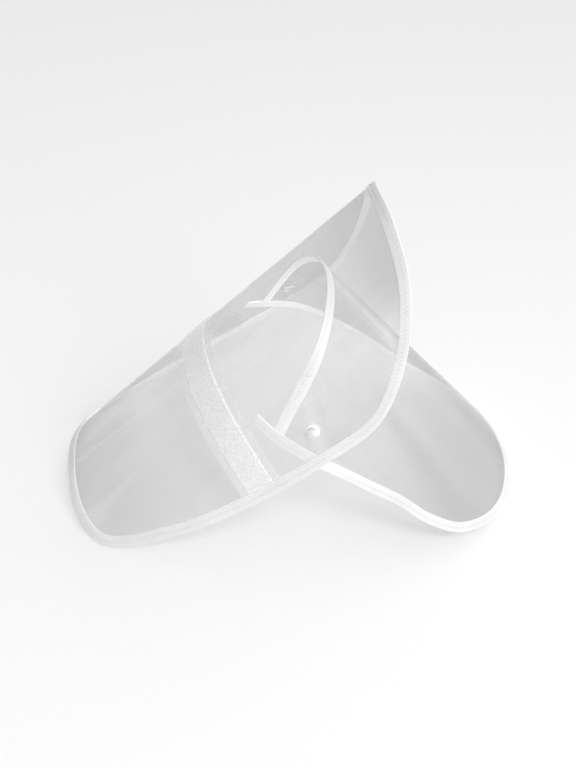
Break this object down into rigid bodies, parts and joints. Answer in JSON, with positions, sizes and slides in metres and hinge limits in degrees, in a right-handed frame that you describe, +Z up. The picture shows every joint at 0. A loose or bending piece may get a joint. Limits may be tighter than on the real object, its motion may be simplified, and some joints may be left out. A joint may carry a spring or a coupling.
{
  "type": "rain hat with face shield",
  "caption": "Clear film rain hat with a pointed front and a long face shield pressed on at the temples, bound with folded tape and crossed by a sparkling band.",
  "frame": {"origin": "on the surface that the hat stands on, under the middle of its bounding box", "axes": "+X towards the wearer's front, +Y towards the wearer's left, +Z up"},
  "size_m": [0.3798, 0.2132, 0.2496],
  "materials": {
    "clear_film": "clear glossy film",
    "white_tape": "stitched woven tape",
    "sparkle_band": "padded, fine sparkle",
    "clear_stud": "clear moulded plastic"
  },
  "bodies": {
    "root": {"hat_sheet": "clear_film", "hat_binding": "white_tape", "crown_band": "sparkle_band", "shield_sheet": "clear_film", "shield_edge_binding": "white_tape", "shield_top_binding": "white_tape", "near_outer_cap": "clear_stud", "near_socket": "clear_stud", "near_stud": "clear_stud", "near_inner_cap": "clear_stud", "far_outer_cap": "clear_stud", "far_socket": "clear_stud", "far_stud": "clear_stud", "far_inner_cap": "clear_stud"}
  },
  "joints": []
}
